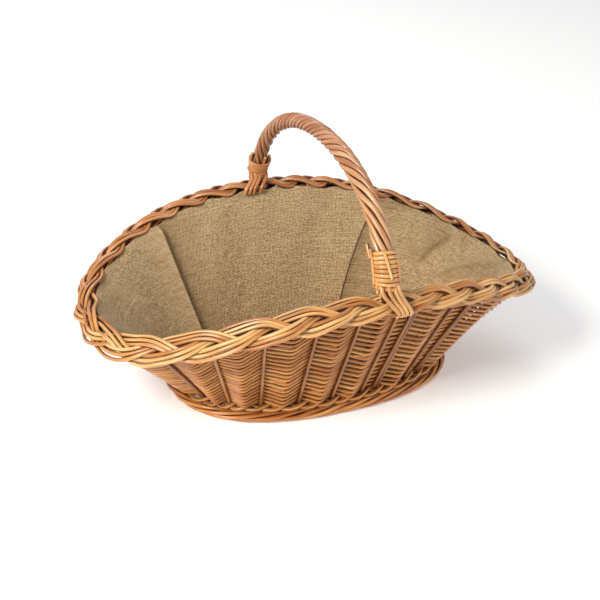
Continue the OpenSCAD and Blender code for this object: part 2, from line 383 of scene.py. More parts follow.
def willow_material(name, stops, painted_shade_gain, far_tint=None, tint_from=0.0, tint_to=0.0):
    """Varnished willow: a tone for each rod, streaks along it, leaf scars, painted shade between the
    rods, and pale pith where one is cut. It can turn to another tint towards the far side of the basket.
    The third argument is how quickly the painted shade darkens a rod towards the rods beside it."""
    n = Nodes(name)
    grain, tone = n.attribute("grain", "Vector"), n.attribute("tone")
    apart, shift = n.node("ShaderNodeCombineXYZ"), n.times(tone, ROD_SPREAD)
    for socket in apart.inputs:
        n.put(socket, shift)

    def along_rod(scale):
        return n.vector("ADD", n.vector("MULTIPLY", grain, scale), apart.outputs[0])

    streak = n.noise(along_rod(STREAK_SCALE), 1.6, 4.0, 0.6)
    patch = n.noise(along_rod(PATCH_SCALE), 1.0, 2.0)
    colour = n.ramp(n.plus(n.times(tone, 0.36), n.times(patch, 0.8)), stops)
    if far_tint:
        colour = tinted_far(n, colour, far_tint, tint_from, tint_to)
    dark = n.math("MULTIPLY", n.math("SUBTRACT", STREAK_BELOW, streak, clamp=True), 2.4, clamp=True)
    colour = n.mix(dark, colour, STREAK_COLOUR)
    # Painted shade: darker where a rod turns away from the side given to Rods.add, towards the rods beside
    # it.
    beside = n.math("SUBTRACT", PAINTED_SHADE_BELOW, n.split(grain)[1], clamp=True)
    colour = n.mix(n.math("MULTIPLY", beside, painted_shade_gain, clamp=True), colour, PAINTED_SHADE_COLOUR)
    scar = n.node("ShaderNodeTexVoronoi")
    n.put(scar.inputs["Vector"], along_rod(SCAR_SCALE))
    n.put(scar.inputs["Scale"], 1.0)
    spot = n.math("SUBTRACT", SCAR_RADIUS, scar.outputs["Distance"], clamp=True)
    colour = n.mix(n.math("MULTIPLY", spot, 6.0, clamp=True), colour, SCAR_COLOUR)
    colour = n.mix(n.attribute("cut"), colour, PITH_COLOUR)
    n.put(n.shader.inputs["Base Color"], colour)
    n.put(n.shader.inputs["Roughness"], n.plus(0.27, n.times(streak, 0.2)))
    height = n.math("SUBTRACT", streak, n.times(spot, 3.0))
    n.put(n.shader.inputs["Normal"], n.bump(height, 0.35, 0.5 * MM))
    n.shader.inputs["Specular IOR Level"].default_value = 0.5
    n.shader.inputs["Coat Weight"].default_value = 0.35
    n.shader.inputs["Coat Roughness"].default_value = 0.22
    return n.material


THREAD = 2.0 * MM  # pitch of the hessian
THREAD_DRIFT = 2.2 * MM  # the threads wander by up to about half of this
HESSIAN_STOPS = [
    (0.10, (0.10, 0.055, 0.022)),
    (0.40, (0.33, 0.205, 0.095)),
    (0.62, (0.50, 0.35, 0.18)),
    (0.88, (0.72, 0.56, 0.34)),
]


def thread_height(n, cloth):
    """Warp and weft over and under each other, wandering a little."""
    wander = n.noise(cloth, 90.0, 2.0, output="Color")
    drift = n.vector("MULTIPLY", n.vector("SUBTRACT", wander, (0.5, 0.5, 0.5)), (THREAD_DRIFT,) * 3)
    where = n.split(n.vector("ADD", cloth, drift))
    across, down = (n.math("DIVIDE", where[i], THREAD) for i in (0, 1))
    parity = n.math("FLOORED_MODULO", n.plus(n.math("FLOOR", across), n.math("FLOOR", down)), 2.0)

    def thread(count):
        """How high a thread stands, for the count of threads up to a place."""
        return n.math("POWER", n.math("ABSOLUTE", n.math("SINE", n.times(count, math.pi))), 0.7)

    warp, weft = thread(across), thread(down)
    over = n.node("ShaderNodeMix", data_type="FLOAT")
    for socket, value in zip((over.inputs[0], over.inputs[2], over.inputs[3]), (parity, warp, weft)):
        n.put(socket, value)
    return n.times(over.outputs[0], n.plus(0.35, n.times(n.times(warp, weft), 0.65)))


def hessian_material(name):
    """Plain-woven jute: threads over and under each other, thick and thin, with slubs and loose colour, and
    painted shade in its creases and along its seams.
    """
    n = Nodes(name)
    cloth = n.attribute("cloth", "Vector")
    height = thread_height(n, cloth)

    def stretched(scale, detail, rough=0.5):
        return n.noise(n.vector("MULTIPLY", cloth, scale), 1.0, detail, rough)

    slub_across = stretched((45.0, 450.0, 1.0), 2.0, 0.65)
    slub_down = stretched((450.0, 45.0, 1.0), 2.0, 0.65)
    slub = n.plus(n.times(slub_across, 0.6), n.times(slub_down, 0.4))
    stain = stretched((9.0, 9.0, 9.0), 4.0, 0.6)
    thick = stretched((3.0, 150.0, 1.0), 1.0)
    speckle = n.noise(cloth, 400.0, 2.0, 0.7)
    _, up_wall, painted_fold_shade = n.split(cloth)
    value = n.plus(n.times(height, 0.5), n.about_middle(slub, 0.85))
    value = n.plus(value, n.about_middle(speckle, 1.15))
    value = n.plus(value, n.math("SUBTRACT", thick, 0.66, clamp=True))
    value = n.plus(value, n.about_middle(stain, 0.16))
    value = n.plus(value, n.times(up_wall, 0.9))  # paler towards the rim
    value = n.math("SUBTRACT", value, n.times(painted_fold_shade, 0.3))  # painted shade in the creases and along the seams
    n.put(n.shader.inputs["Base Color"], n.ramp(n.plus(value, 0.19), HESSIAN_STOPS))
    n.put(n.shader.inputs["Roughness"], n.plus(0.8, n.times(slub, 0.2)))
    n.put(n.shader.inputs["Normal"], n.bump(n.plus(height, n.times(slub, 0.5)), 0.6, 0.8 * MM))
    n.shader.inputs["Specular IOR Level"].default_value = 0.2
    n.shader.inputs["Sheen Weight"].default_value = 0.15
    return n.material


def shades(*colours):
    """Colours from a dark rod's to a pale one's, as stops of a colour ramp."""
    return list(zip((0.2, 0.42, 0.6, 0.85), colours))


HONEY = shades((0.30, 0.085, 0.015), (0.52, 0.20, 0.045), (0.70, 0.34, 0.10), (0.84, 0.53, 0.22))
DEEP = shades((0.26, 0.055, 0.008), (0.46, 0.145, 0.022), (0.66, 0.26, 0.05), (0.84, 0.44, 0.13))
ROSE = shades((0.30, 0.10, 0.03), (0.47, 0.20, 0.075), (0.62, 0.31, 0.13), (0.74, 0.45, 0.24))
# The stakes' colours are darker than the weavers' as painted shade, for the shade they stand in between the
# weavers.
STAKE = shades((0.15, 0.036, 0.007), (0.27, 0.085, 0.016), (0.40, 0.15, 0.03), (0.54, 0.26, 0.075))
BROWN = shades((0.10, 0.028, 0.007), (0.24, 0.08, 0.02), (0.38, 0.15, 0.042), (0.52, 0.25, 0.08))
willow = willow_material("varnished_willow", HONEY, 1.1)
willow_rim = willow_material("varnished_willow_rim", HONEY, 1.15, (0.80, 0.64, 0.62), -0.08, 0.08)
willow_deep = willow_material("varnished_willow_deep", DEEP, 1.5, (0.92, 0.80, 0.85), -0.02, 0.08)
willow_rose = willow_material("varnished_willow_rose", ROSE, 1.35, (0.72, 0.62, 0.70), -0.15, 0.02)
willow_stake_shaded = willow_material("varnished_willow_stake", STAKE, 1.5)
willow_brown = willow_material("varnished_willow_brown", BROWN, 1.5)
hessian = hessian_material("hessian")


# ---- base ----------------------------------------------------------------------------------------
STICK_Z = 10 * MM
CROSS_STICKS, CROSS_STICK_R, CROSS_STICK_STEP, CROSS_STICK_INSET = 5, 4.9 * MM, 55 * MM, 24 * MM
CROSS_STICK_REACH = 70 * MM  # about half a cross stick, for finding where the oval's edge crosses it
LONG_STICK_R, LONG_STICK_STEP, LONG_STICK_HALF = 2.9 * MM, 7.5 * MM, 146 * MM
BASE_ROWS, BASE_ROW_STEP, BASE_ROD_R, BASE_SWING = 17, 5.2 * MM, 2.5 * MM, 4.6 * MM
BASE_INSET, BASE_END_INSET = 18.8 * MM, 8 * MM


def straight_stick(a, b, n):
    """n points from a to b, both as (x, y), at the sticks' height."""
    return np.linspace((*a, STICK_Z), (*b, STICK_Z), n)


def build_base():
    cross = Rods("base_cross_sticks_wood")
    for k in range(CROSS_STICKS):
        x = (k - (CROSS_STICKS - 1) / 2) * CROSS_STICK_STEP
        toward_end = math.atan2(CROSS_STICK_REACH, x)
        half = oval(FOOT_A - CROSS_STICK_INSET, FOOT_B - CROSS_STICK_INSET, FOOT_POWER, toward_end)[1]
        cross.add(straight_stick((x, -half), (x, half), 40), CROSS_STICK_R, (0, 0, 1), sides=12)
    cross.build(willow_brown, "base_cross_sticks")
    long = Rods("base_long_sticks_wood")
    for k in (-1, 0, 1):
        y = k * LONG_STICK_STEP
        stick = straight_stick((-LONG_STICK_HALF, y), (LONG_STICK_HALF, y), 60)
        long.add(stick, LONG_STICK_R, (0, 0, 1), sides=10)
    long.build(willow_brown, "base_long_sticks")
    weave = Rods("base_weave_rods")
    t = np.linspace(0, TAU, 360, endpoint=False)
    for row in range(BASE_ROWS):
        end_inset = BASE_END_INSET * (1 - row / BASE_ROWS) * np.cos(t) ** 2
        path = foot_at(t, BASE_INSET + end_inset + row * BASE_ROW_STEP, STICK_Z)
        # Each stick is crossed twice in a round, once on each side of the middle.
        path[:, 2] += BASE_SWING * np.cos(2 * CROSS_STICKS * t + row * math.pi)
        weave.add(path, BASE_ROD_R, (0, 0, 1), closed=True, sides=6)
    weave.build(willow, "base_weave")


FOOT_RODS, FOOT_TURNS, FOOT_ROD_R = 5, 6, 2.4 * MM
FOOT_HALF_WIDTH, FOOT_HALF_HEIGHT = 4.2 * MM, 3.1 * MM  # of the ring that the rods' middles run on
FOOT_MIDDLE_Z = 5.8 * MM
FOOT_WOBBLE_ROUND, FOOT_WOBBLE_OUT = 0.16, 0.12  # radians, and a share of the ring's half width


def build_foot():
    """Rods rolled round each other like a rope, flattened a little."""
    made = Rods("foot_border_rods")
    n = 900
    t = np.linspace(0, TAU, n, endpoint=False)
    centre = foot_at(t)
    out = np.cross(unit(np.roll(centre, -1, 0) - np.roll(centre, 1, 0)), (0, 0, 1))
    drop = FOOT_MIDDLE_Z - FOOT_R
    for k in range(FOOT_RODS):
        w = FOOT_TURNS * t + k * TAU / FOOT_RODS + FOOT_WOBBLE_ROUND * ripple(n, 9, 40 + k)
        ring = 1 + FOOT_WOBBLE_OUT * ripple(n, 12, 50 + k)
        offset = out * (FOOT_HALF_WIDTH * ring * np.cos(w))[:, None]
        offset[:, 2] = FOOT_HALF_HEIGHT * np.sin(w) + drop
        # The painted shade darkens each rod towards the middle of the rope.
        open_side = unit(offset - (0, 0, drop))
        made.add(centre + offset, FOOT_ROD_R, open_side, closed=True, sides=10, tone=0.1 + 0.13 * k)
    made.build(willow_deep, "foot_border")


# ---- wall ----------------------------------------------------------------------------------------
STAKE_OFF = -0.8 * MM
STAKE_BELOW, STAKE_SHORT = 3 * MM, 7 * MM  # how far a stake goes below its start and stops short of the rim
STAKE_BUTT_R, STAKE_TIP_R, STAKE_PAIR_STEP = 2.25 * MM, 2.0 * MM, 4.6 * MM


def build_stakes():
    made = Rods("stakes_rods")
    n = 50
    for k in range(STAKES):
        if k in HANDLE_STAKES:
            continue
        t = np.full(n, stake_turn(k))
        _, along, out, length = wall_frame(t)
        path = wall(t, np.linspace(-STAKE_BELOW, length[0] - STAKE_SHORT, n), np.full(n, STAKE_OFF))
        side = np.cross(along, out)
        radius = np.linspace(STAKE_BUTT_R, STAKE_TIP_R, n)
        for j in range(2 if k in DOUBLED_STAKES else 1):
            made.add(path - side * (STAKE_PAIR_STEP * j), radius, out, sides=10, both=True)
    made.build(willow_stake_shaded, "stakes")


SKYWARD = 0.55  # the side of a wall rod that the painted shade leaves bright looks out and a little up, where the light falls
RODS_IN_ROW, ROW_POINTS = 3, 9  # points for each stake passed
FULL_LENGTH, LAST_LENGTH = 14, 12  # how many stakes a rod passes; the last one of a row is shorter
WEAVER_BUTT_R, WEAVER_TIP_R = 2.35 * MM, 2.0 * MM
WEAVER_WOBBLE_OUT, WEAVER_WOBBLE_UP = 0.3 * MM, 0.45 * MM
WEAVE_ABOVE_WALE, WEAVE_BELOW_WALE = 4.2 * MM, 6.5 * MM
TUCK_IN, TUCK_SLANT = 2.0 * MM, 1.6 * MM  # how far a rod's end is pushed in, and off its row
TUCK_LENGTH = 0.8  # of the way between two stakes


def weaver(row, rod):
    """A side rod's path, radius and open side."""
    first = 1 + 2 * ((row * 3 + rod * 7) % (STAKES // 2))  # an odd stake, which it is inside of
    stakes = FULL_LENGTH if rod < RODS_IN_ROW - 1 else LAST_LENGTH
    n = (stakes + 1) * ROW_POINTS
    k = np.linspace(first, first + stakes + 1, n)
    turn = k % STAKES
    t = stake_turn(turn)
    _, along, out, length = wall_frame(t)
    low = reach(t, LOW_WALE_Z, WALE_OUT) + WEAVE_ABOVE_WALE
    high = length - TOP_WALE_DROP - WEAVE_BELOW_WALE
    seed = 1000 + 10 * row + rod
    tuck = smooth_step(1 - np.minimum(k - k[0], k[-1] - k) / TUCK_LENGTH)
    swing = WEAVE_SWING * side_of(turn) - TUCK_IN * tuck + WEAVER_WOBBLE_OUT * ripple(n, 12, seed)
    slant = np.sign(k - (k[0] + k[-1]) / 2) * TUCK_SLANT * tuck
    share = row / (WEAVE_ROWS - 1)
    d = low + (high - low) * share + WEAVER_WOBBLE_UP * ripple(n, 5, seed + 5) + slant
    return wall(t, d, swing), np.linspace(WEAVER_BUTT_R, WEAVER_TIP_R, n), out + SKYWARD * along


def build_side_weave():
    """Each row is three rods, butt to tip. They meet inside the basket, behind a stake."""
    made = Rods("side_weave_rods")
    for row in range(WEAVE_ROWS):
        for rod in range(RODS_IN_ROW):
            path, radius, side = weaver(row, rod)
            tone = 0.3 + 0.4 * float(rng.uniform())
            made.add(path, radius, side, sides=8, tone=tone, both=True)
    made.build(willow_deep, "side_weave")


WALE_TURNS, WALE_ROD_R, WALE_BAND_STEP = 3, 2.4 * MM, 4.6 * MM
WALE_MIDDLE, WALE_SWING, WALE_LIFT = 1.2 * MM, 5.6 * MM, 2.3 * MM
WALE_BAND_TURN = 2  # radians by which one band of a wale runs ahead of the other


def build_wales():
    """Each wale is two bands of one rod, which goes three times round, outside two stakes and inside one."""
    n = WALE_TURNS * 480
    k = np.linspace(0, WALE_TURNS * STAKES, n, endpoint=False)
    t = stake_turn(k % STAKES)
    _, _, out, length = wall_frame(t)
    for node, slot, middle in (
        ("lower_wale", "willow", reach(t, LOW_WALE_Z, 0.0)),
        ("upper_wale", "willow_dark", length - TOP_WALE_DROP),
    ):
        made = Rods(f"{node}_rods")
        for band in (-0.5, 0.5):
            w = k * TAU / 3 + band * WALE_BAND_TURN
            off = WALE_MIDDLE + WALE_SWING * np.cos(w)
            d = middle + WALE_LIFT * np.sin(w) + band * WALE_BAND_STEP
            made.add(wall(t, d, off), WALE_ROD_R, out, closed=True, both=True)
        made.build(willow_deep, node)


# ---- rim -----------------------------------------------------------------------------------------
PLAIT_WAVES, PLAIT_START = 10, math.radians(27.9)
PLAIT_GATHER = math.radians(9.9)
# The looseness comes and goes once and twice round the basket: by how much, and from which turn.
LOOSE_ONCE, ONCE_TURN = math.radians(74.2), math.radians(142.3)
LOOSE_TWICE, TWICE_TURN = math.radians(21), math.radians(-39.4)
PLAIT_ROD_R, PLAIT_ROD_GAP = 2.35 * MM, 4.5 * MM
PLAIT_OPEN = 15 * MM  # this far from the border's middle the side of a rod that the painted shade leaves bright has turned by 45 degrees
PLAIT_SWING, PLAIT_LIFT = 11.6 * MM, 3.8 * MM
PLAIT_WOBBLE_OUT, PLAIT_WOBBLE_UP, PLAIT_UNEVENNESS = 1.0 * MM, 0.7 * MM, 0.07
SPREAD_AT_EDGE, SPREAD_WHERE_STRAIGHT = 0.12, 0.9  # shares by which a strand's rods stand further apart
# A strand crosses the border quickly and lies flatter along its edges.
PLAIT_FLATNESS, PLAIT_PEAK = 0.10, 0.92
PLAIT_DOME, FAR_DOME = 10.0, 26.0  # how fast the border's edges drop away, at the front and at the back
# The border's width at some turns, as a share of its full width.
BREADTH_TURNS, BREADTHS = (0, 60, 140, 180, 245, 275, 360), (0.84, 0.9, 0.95, 1.06, 1, 0.82, 0.84)
# Strands run straighter round the left end: by what share, and at which turn in degrees.
STRAIGHTER, STRAIGHTER_TURN, STRAIGHTER_SPREAD = 0.28, 172, 24


def plait_phase(t):
    """How far round its wave the plait is. It is worked looser at the left front than at the back."""
    e = t + PLAIT_GATHER * np.sin(2 * t)
    loose = LOOSE_ONCE * np.cos(e - ONCE_TURN) + LOOSE_TWICE * np.cos(2 * e - TWICE_TURN)
    return PLAIT_WAVES * e + PLAIT_START + loose


def build_rim():
    """Three strands of three rods each, plaited flat across the top of the wall."""
    n = 1200
    t = np.linspace(0, TAU, n, endpoint=False)
    _, along, out, _ = wall_frame(t)
    centre = rim_at(t)
    breadth = np.interp(t, np.radians(BREADTH_TURNS), BREADTHS)
    dome = PLAIT_DOME + (FAR_DOME - PLAIT_DOME) * smooth_step(0.5 + centre[:, 1] / (160 * MM))
    sway = 1 - STRAIGHTER * np.exp(-(((np.degrees(t) - STRAIGHTER_TURN) / STRAIGHTER_SPREAD) ** 2))
    for strand in range(3):
        made = Rods(f"rim_strand_{strand + 1}_rods")
        w = plait_phase(t) + strand * TAU / 3
        swing = (np.sin(w) + PLAIT_FLATNESS * np.sin(3 * w)) / PLAIT_PEAK
        spread = PLAIT_ROD_GAP * (1 + SPREAD_AT_EDGE * np.sin(w) ** 2 + SPREAD_WHERE_STRAIGHT * (1 - sway))
        for rod in (-1, 0, 1):
            seed = 500 + 10 * strand + rod
            across = breadth * (sway * PLAIT_SWING * swing + rod * spread)
            across = across + PLAIT_WOBBLE_OUT * ripple(n, 14, seed)
            wobble = PLAIT_WOBBLE_UP * ripple(n, 20, seed + 100)
            lift = -PLAIT_LIFT * np.sin(2 * w) + wobble - dome * across**2
            radius = PLAIT_ROD_R * (1 + PLAIT_UNEVENNESS * ripple(n, 3, seed + 200))
            path = centre + out * across[:, None] + along * lift[:, None]
            made.add(path, radius, along + out * (across / PLAIT_OPEN)[:, None], closed=True, sides=10)
        made.build(willow_rim, f"rim_strand_{strand + 1}")


# ---- handle --------------------------------------------------------------------------------------
X_AXIS = np.array([1.0, 0, 0])
FAR_TURN, NEAR_TURN = TAU / 4, 3 * TAU / 4  # where the handle meets the border
ROPE_R, ROPE_RODS = 3.2 * MM, 7
HANDLE_R = BOW_R + 5.6 * MM
ROPE_WOBBLE_ROUND, WRAP_WOBBLE = 0.07, 0.35 * MM  # radians round the handle, and in and out
# The rope's angle off the handle's line, in degrees, at shares of its length from the far end.
LAY_SHARES, LAY_ANGLES = (0, 0.2, 0.38, 0.55, 0.75, 1), (16, 24, 33, 30, 19, 13)
# The rope's thickness as a share of its full one, at degrees along the arch.
ROPE_TURNS, ROPE_SHARES = (0, 85, 110), (0.86, 0.88, 1)
# The bow's legs: depth in the wall below the border's middle, and radius there.
LEG_DEPTHS, LEG_RADII = (8 * MM, 26 * MM, 150 * MM), (4.2 * MM, 3.2 * MM, 2.2 * MM)


def round_arch(u, w):
    """The way off the handle's line, w round it from +X."""
    step = math.radians(0.5)
    line = unit(arch(np.clip(u + step, 0, math.pi)) - arch(np.clip(u - step, 0, math.pi)))
    return X_AXIS * np.cos(w)[:, None] + np.cross(line, X_AXIS) * np.sin(w)[:, None]


def arch_turns(first, last, n):
    """n turns along the arch, from first to last in degrees."""
    return np.linspace(math.radians(first), math.radians(last), n)


def running_sum(steps):
    return np.concatenate([[0], np.cumsum(steps)])


def bow_leg(turn, n):
    """The part of the bow that stands in the wall, from its tip up."""
    t = np.full(n, turn)
    depth = np.linspace(LEG_DEPTHS[-1], LEG_DEPTHS[0], n)
    return wall(t, wall_frame(t)[3] - depth, np.zeros(n)), np.interp(depth, LEG_DEPTHS, LEG_RADII)


def build_bow():
    bow = Rods("handle_bow_rod")
    above, in_wall = 90, 30
    (far, leg), (near, _) = bow_leg(FAR_TURN, in_wall), bow_leg(NEAR_TURN, in_wall)
    path = np.vstack([far, arch(arch_turns(2, 178, above)), near[::-1]])
    bow.add(path, np.concatenate([leg, np.full(above, BOW_R), leg[::-1]]), X_AXIS, sides=12)
    bow.build(willow_brown, "handle_bow")


def build_rope():
    rope = Rods("handle_rope_rods")
    n = 420
    u = arch_turns(3, 176, n)
    centre = arch(u)
    run = running_sum(np.linalg.norm(np.diff(centre, axis=0), axis=1))
    lay = np.tan(np.radians(np.interp(run / run[-1], LAY_SHARES, LAY_ANGLES)))
    ring = (HANDLE_R - ROPE_R) * np.interp(u, np.radians(ROPE_TURNS), ROPE_SHARES)
    turn = running_sum(np.diff(run) * (lay[1:] + lay[:-1]) / 2 / ring[1:])
    for k in range(ROPE_RODS):
        w = k * TAU / ROPE_RODS - turn + ROPE_WOBBLE_ROUND * ripple(n, 6, 720 + k)
        o = round_arch(u, w)
        off = ring + WRAP_WOBBLE * ripple(n, 7, 700 + k)
        rope.add(centre + o * off[:, None], ROPE_R * ring / ring.max(), o, sides=10)
    rope.build(willow_rose, "handle_rope")


SKEIN_HALF_WIDTH, SKEIN_FLATNESS, SKEIN_POINTS = 2.5 * MM, 0.5, 40  # points for each turn of the skein
# Rods tucked under and over each binding: turn along the handle and turn round it in degrees at both ends,
# how far off the wrapped handle, and radius.
NEAR_EXTRAS = [
    (157, 116, 167.5, 96, 4.2 * MM, 1.7 * MM),
    (154, 186, 170, 184, 3.6 * MM, 2.2 * MM),
    (151.5, 204, 158, 196, 5.2 * MM, 2.3 * MM),
    (160, 52, 171, 46, 3.6 * MM, 2.0 * MM),
    (168, 168, 174, 166, 2.4 * MM, 2.2 * MM),
    (169, 148, 174.5, 144, 2.4 * MM, 2.2 * MM),
]
FAR_EXTRAS = [
    (8, -92, 20.5, -88, 1.6 * MM, 2.1 * MM),
    (8, -62, 21, -52, 1.6 * MM, 2.1 * MM),
    (10, 176, 19.5, 172, 1.8 * MM, 2.2 * MM),
]
# Each binding: where it starts and stops along the handle in degrees, its turns, how far off the handle's own
# radius it starts and ends, the radius its extra rods are measured from, and those rods.
BINDINGS = {
    "binding_far": (3.0, 15.5, 7, (-1.0 * MM, 2.8 * MM), 0.9 * HANDLE_R, FAR_EXTRAS),
    "binding_near": (172.5, 155.5, 9, (3.8 * MM, 2.0 * MM), HANDLE_R, NEAR_EXTRAS),
}


def build_bindings():
    """Split willow wound round each end of the handle and over the rods that come up from the border."""
    for node, (start, stop, turns, grow, extras_r, extras) in BINDINGS.items():
        made = Rods(f"{node}_skein")
        n = turns * SKEIN_POINTS
        s = np.linspace(0, 1, n)
        u = np.radians(start + (stop - start) * s)
        o = round_arch(u, TAU * turns * s)
        ring = HANDLE_R + grow[0] + (grow[1] - grow[0]) * s + WRAP_WOBBLE * ripple(n, 20, 800 + turns)
        made.add(arch(u) + o * ring[:, None], SKEIN_HALF_WIDTH, o, flat=SKEIN_FLATNESS, sides=8)
        for u0, w0, u1, w1, off, radius in extras:
            u = arch_turns(u0, u1, 30)
            o = round_arch(u, arch_turns(w0, w1, 30))
            made.add(arch(u) + o * (extras_r + off), radius, o)
        made.build(willow_rim, node)


# The rods that come out of each binding and go over the border. Control points: millimetres out of the basket
# from the border's middle, millimetres up along the wall, and the share of the way from first x to last x.
TAIL_R = 2.5 * MM
TAIL_NEAR = [
    (-3.8, 26, 0),
    (2, 22.5, 0),
    (6.5, 14.5, 0.34),
    (11.5, 9.5, 0.6),
    (16, 6, 0.82),
    (18.3, 1, 1),
    (17, -4.5, 1),
]
TAIL_FAR = [
    (-12, 22, 0),
    (-16.5, 15, 0),
    (-19.8, 7, 0.1),
    (-21.5, 1, 0.45),
    (-21.5, -6, 0.85),
    (-18.5, -12, 1),
]
# The first and last x of each of those rods, in millimetres.
TAIL_NEAR_X = [(-13.2, 6.3), (-4.3, 11.7), (2.7, 16.6), (7.8, 22.5)]
TAIL_FAR_X = [(-8, -21.5), (-2.4, -15), (2.8, -9), (12.5, 1)]


def build_tails():
    for node, turn, control, spans, open_to in (
        ("tails_near", NEAR_TURN, TAIL_NEAR, TAIL_NEAR_X, 1),
        ("tails_far", FAR_TURN, TAIL_FAR, TAIL_FAR_X, -1),
    ):
        made = Rods(f"{node}_rods")
        _, along, out, _ = wall_frame(turn)
        s = np.linspace(0, len(control) - 1, 60)
        out_by, up_by, share = (smooth_through(values, s)[:, None] for values in np.array(control, float).T)
        for x0, x1 in spans:
            path = rim_at(np.array(turn)) + out * out_by * MM + along * up_by * MM
            path = path + X_AXIS * (x0 + (x1 - x0) * share) * MM
            made.add(path, TAIL_R, open_to * out + along, sides=10)
        made.build(willow_rim, node)


# ---- lining --------------------------------------------------------------------------------------
CLOTH_HALF = 0.5 * MM  # half the cloth's thickness
FLOOR_CLOTH_Z, PANEL_LOW_Z, PANEL_TOP_DROP = 18.9 * MM, 18.5 * MM, 9.5 * MM
LAP = 6  # degrees by which a panel's edge runs on under its neighbour's
EDGE_SPREAD, PAINTED_SHADE_SPREAD = 6, 4.5  # degrees over which an edge's lift, and the painted shade along its seam, fade
# Seams between the four upright panels: turn in degrees at the floor and at the rim.
SEAMS = {"left_back": (137, 137), "right_back": (53, 38), "left_front": (222, 222), "right_front": (318, 318)}
# Creases: turn in degrees and height share at both ends, how far they stand in, and how soon they fade on
# their sharp side and on their soft side.
CREASES = [
    (15.5, 0.88, 20.0, 0.60, 5.0 * MM, 2 * MM, 11 * MM),
    (9.0, 0.58, -4.0, 0.92, 3.0 * MM, 4 * MM, 13 * MM),
    (-7.0, 0.95, -14.0, 0.62, 2.6 * MM, 3 * MM, 12 * MM),
    (162.0, 0.85, 170.0, 0.20, 1.6 * MM, 12 * MM, 30 * MM),
]
CREASE_GIRTH, CREASE_TALL = 1.35, 170 * MM  # the wall's size, for measuring along it
# Shares of its length that a crease runs on past its ends, and fades over.
CREASE_TAIL, CREASE_FADE = 0.3, 0.35


def crease_height(turn, share):
    """How far the creases push the cloth in at a turn in degrees and a share of the height."""
    turn, share = np.broadcast_arrays(turn, share)
    total = np.zeros(turn.shape)
    for t0, v0, t1, v1, height, sharp, soft in CREASES:
        a = np.stack([(turn - t0) / 360 * CREASE_GIRTH, (share - v0) * CREASE_TALL], -1)
        b = np.array([(t1 - t0) / 360 * CREASE_GIRTH, (v1 - v0) * CREASE_TALL])
        along = np.clip((a @ b) / (b @ b), -CREASE_TAIL, 1 + CREASE_TAIL)
        gap = a - along[..., None] * b
        side = np.sign(gap[..., 0] * b[1] - gap[..., 1] * b[0])
        dist = np.linalg.norm(gap, axis=-1) / np.where(side > 0, sharp, soft)
        before, after = along + CREASE_TAIL, 1 + CREASE_TAIL - along
        ends = smooth_step(before / CREASE_FADE) * smooth_step(after / CREASE_FADE)
        total = total + height * np.exp(-dist) * ends
    return total


def sag(t, share):
    """How far the cloth hangs in between its seams."""
    wide = 1.6 * MM * np.sin(t * 9 + 3 * share) * np.sin(math.pi * share)
    return wide + 1.0 * MM * np.sin(t * 17 + 2 + 5 * share) * share


def upright_cloth(t, share, inward):
    """Points of an upright panel at turns t and shares of its height, and their height up the wall."""
    rim_wave = 1.3 * MM * np.sin(t * 23) + 0.9 * MM * np.sin(t * 41 + 1)
    low = reach(t, PANEL_LOW_Z, -LINING_IN)
    high = wall_frame(t)[3] - PANEL_TOP_DROP + rim_wave
    d = low + (high - low) * share
    body = smooth_step(share / 0.12) * smooth_step((1 - share) / 0.06)
    return wall(t, d, -LINING_IN - inward * body), d


def build_panel(node, first, last, under, edge_in, shaded):
    """An upright panel from seam first to seam last.

    Each pair is for its two edges: how many degrees the edge runs on under the next panel, how far it stands
    in, and how dark the painted shade along the seam is."""
    cols, rows = 200, 90
    across, share = np.linspace(0, 1, cols)[None], np.linspace(0, 1, rows)[:, None]
    (a0, a1), (b0, b1) = SEAMS[first], SEAMS[last]
    b0, b1 = (b + 360 if b < a0 else b for b in (b0, b1))
    seam_a, seam_b = a0 + (a1 - a0) * share, b0 + (b1 - b0) * share
    start, end = seam_a - under[0], seam_b + under[1]
    turn = start + (end - start) * across
    t = np.radians(turn)
    wrapped = (turn + 180) % 360 - 180
    fold = crease_height(np.where(wrapped < -60, wrapped + 360, wrapped), share)
    past_start, to_end = turn - start, end - turn
    edges = edge_in[0] * np.exp(-past_start / EDGE_SPREAD) + edge_in[1] * np.exp(-to_end / EDGE_SPREAD)
    points, d = upright_cloth(t, share, fold + 0.8 * sag(t, share) + edges)
    step = np.linalg.norm(np.diff(points, axis=1), axis=-1)
    width = np.concatenate([np.zeros((rows, 1)), np.cumsum(step, axis=1)], axis=1)
    width = width - width[:, cols // 2][:, None]
    from_a, from_b = np.abs(turn - seam_a), np.abs(seam_b - turn)
    # Painted shade along the seams and in the creases, carried as the cloth's third number.
    painted_fold_shade = shaded[0] * np.exp(-from_a / PAINTED_SHADE_SPREAD) + shaded[1] * np.exp(-from_b / PAINTED_SHADE_SPREAD)
    cloth = np.stack([width, d, painted_fold_shade + np.clip(fold / (9 * MM), 0, 0.5)], -1)
    closed_sheet(node, points, cloth, -wall_frame(t)[2])


def closed_sheet(node, points, cloth, inward):
    """A thin closed sheet of cloth with its middle at points, for one CAD node."""
    rows, cols = points.shape[:2]
    layers = [(points + side * inward * CLOTH_HALF).reshape(-1, 3) for side in (1, -1)]
    index = np.arange(rows * cols).reshape(rows, cols)

    def quads(a, b, c, d):
        return np.stack([a, b, c, d], -1).reshape(-1, 4)

    front = quads(index[:-1, :-1], index[1:, :-1], index[1:, 1:], index[:-1, 1:])
    edge = np.concatenate([index[0], index[1:, -1], index[-1, -2::-1], index[-2:0:-1, 0]])
    after = np.roll(edge, -1)
    back = rows * cols
    faces = np.vstack([front, front[:, ::-1] + back, quads(edge, after, after + back, edge + back)])
    vectors = {"cloth": np.concatenate([cloth.reshape(-1, 3)] * 2)}
    obj = piece(f"{node}_cloth", np.concatenate(layers), faces, hessian, node, vectors, {})


